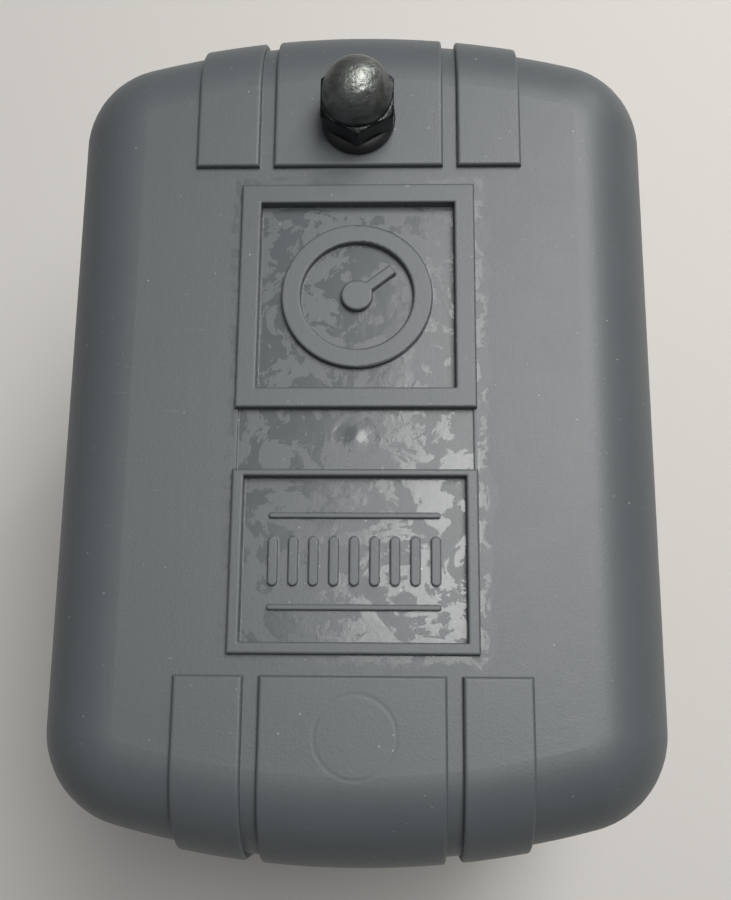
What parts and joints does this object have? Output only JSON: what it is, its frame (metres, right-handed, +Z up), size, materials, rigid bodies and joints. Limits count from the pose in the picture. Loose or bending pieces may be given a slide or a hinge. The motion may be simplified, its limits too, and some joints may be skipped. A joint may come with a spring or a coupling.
{
  "type": "pressure switch",
  "caption": "Pump pressure switch: moulded cover with domed nut, steel tray with two conduit openings, threaded pipe port, springs and snap contacts inside.",
  "frame": {"origin": "on the pipe port's axis, in the plane of the port's lower face, on which the switch stands", "axes": "+X across the switch through the conduit openings, +Y along it towards the cover nut, +Z up"},
  "size_m": [0.073, 0.1048, 0.097],
  "materials": {
    "cover_plastic": "fine-grained moulded grey thermoplastic",
    "zinc_dark": "dull dark zinc with fine hammered wear",
    "rubber_black": "matte black rubber",
    "zinc_steel": "zinc-plated sheet steel",
    "cast_zinc": "die-cast zinc, fine sandy skin",
    "zinc_bright": "bright zinc plate",
    "cream_plastic": "moulded acetal",
    "hard_steel": "hardened steel, light oil",
    "black_plastic": "moulded black phenolic",
    "brass": "rolled brass",
    "silver_contact": "silver contact alloy, satin",
    "spring_steel": "zinc-plated spring wire",
    "green_screw": "green-passivated steel"
  },
  "bodies": {
    "root": {"base_tray": "zinc_steel", "port_flange": "cast_zinc", "flange_screws": "zinc_bright", "diaphragm": "rubber_black", "mechanism_frame": "zinc_steel", "frame_rivets": "zinc_bright", "lever_pin": "hard_steel", "lever_pin_clip": "hard_steel", "arm_pins": "hard_steel", "terminal_block": "black_plastic", "block_screws": "zinc_bright", "contact_strips": "brass", "fixed_contact_tips": "silver_contact", "wire_clamps": "zinc_bright", "terminal_screws": "brass", "range_stud": "zinc_bright", "differential_stud": "zinc_bright", "ground_screws": "green_screw", "ground_washers": "zinc_bright"},
    "cover": {"cover": "cover_plastic"},
    "nut_washer": {"nut_washer": "rubber_black"},
    "cap_nut": {"cap_nut": "zinc_dark"},
    "piston": {"piston": "cream_plastic"},
    "pressure_lever": {"pressure_lever": "zinc_steel", "lever_button": "hard_steel"},
    "toggle_spring": {"toggle_spring": "spring_steel"},
    "contact_arm": {"contact_arm": "black_plastic", "toggle_hook": "hard_steel"},
    "contact_bridges": {"contact_bridges": "brass", "moving_contact_tips": "silver_contact", "bridge_springs": "spring_steel"},
    "range_seat": {"range_seat": "zinc_steel", "range_spring": "spring_steel"},
    "range_nut": {"range_nut": "zinc_bright"},
    "differential_lower_seat": {"differential_lower_seat": "zinc_bright"},
    "differential_seat": {"differential_seat": "zinc_steel", "differential_spring": "spring_steel"},
    "differential_nut": {"differential_nut": "zinc_bright"}
  },
  "joints": [
    {"name": "cover_lift", "type": "slide", "parent": "root", "child": "cover", "axis": [0, 0, 1], "range_m": [0, 0.055]},
    {"name": "washer_rise", "type": "slide", "parent": "cover", "child": "nut_washer", "axis": [0, 0, 1], "range_m": [0, 0.00476]},
    {"name": "cap_nut_turn", "type": "hinge", "parent": "nut_washer", "child": "cap_nut", "pos_m": [0, 0.03625, 0.09], "axis": [0, 0, 1], "range_deg": [0, 2160]},
    {"name": "pressure_lever_tilt", "type": "hinge", "parent": "root", "child": "pressure_lever", "pos_m": [0, -0.018, 0.033], "axis": [1, 0, 0], "range_deg": [0, 2.5], "stiffness_Nm_per_rad": 2, "springref_deg": -8.59},
    {"name": "piston_lift", "type": "slide", "parent": "root", "child": "piston", "axis": [0, 0, 1], "range_m": [0, 0.0008]},
    {"name": "toggle_spring_swing", "type": "hinge", "parent": "pressure_lever", "child": "toggle_spring", "pos_m": [0, 0.016, 0.0445], "axis": [1, 0, 0], "range_deg": [-3.5, 0]},
    {"name": "contact_arm_tilt", "type": "hinge", "parent": "root", "child": "contact_arm", "pos_m": [0, -0.002, 0.046], "axis": [1, 0, 0], "range_deg": [-9.1, 0]},
    {"name": "bridge_drop", "type": "slide", "parent": "contact_arm", "child": "contact_bridges", "axis": [0, 0, -1], "range_m": [0, 0.00081], "deforming": ["bridge_springs"]},
    {"name": "range_seat_slide", "type": "slide", "parent": "root", "child": "range_seat", "axis": [0, 0, 1], "range_m": [-0.00476, 0.00476], "deforming": ["range_spring"]},
    {"name": "range_nut_turn", "type": "hinge", "parent": "range_seat", "child": "range_nut", "pos_m": [0, 0.03625, 0.0634], "axis": [0, 0, 1], "range_deg": [-2160, 2160]},
    {"name": "differential_lower_seat_slide", "type": "slide", "parent": "root", "child": "differential_lower_seat", "axis": [0, 0, 1], "range_m": [0, 0.0015]},
    {"name": "differential_seat_slide", "type": "slide", "parent": "root", "child": "differential_seat", "axis": [0, 0, 1], "range_m": [-0.00396, 0.00396], "deforming": ["differential_spring"]},
    {"name": "differential_nut_turn", "type": "hinge", "parent": "differential_seat", "child": "differential_nut", "pos_m": [0.0195, 0.009, 0.0513], "axis": [0, 0, 1], "range_deg": [-1800, 1800]}
  ],
  "couplings": [
    {"joint": "cap_nut_turn", "follows": "washer_rise", "rad_per_m": 7915.8},
    {"joint": "range_nut_turn", "follows": "range_seat_slide", "rad_per_m": 7915.8},
    {"joint": "differential_nut_turn", "follows": "differential_seat_slide", "rad_per_m": 7915.8},
    {"joint": "piston_lift", "follows": "pressure_lever_tilt", "m_per_rad": 0.0145},
    {"joint": "contact_arm_tilt", "follows": "pressure_lever_tilt", "ratio": -3.6},
    {"joint": "toggle_spring_swing", "follows": "pressure_lever_tilt", "ratio": -1.344},
    {"joint": "bridge_drop", "follows": "pressure_lever_tilt", "m_per_rad": 0.018335},
    {"joint": "differential_lower_seat_slide", "follows": "pressure_lever_tilt", "m_per_rad": 0.0326}
  ]
}
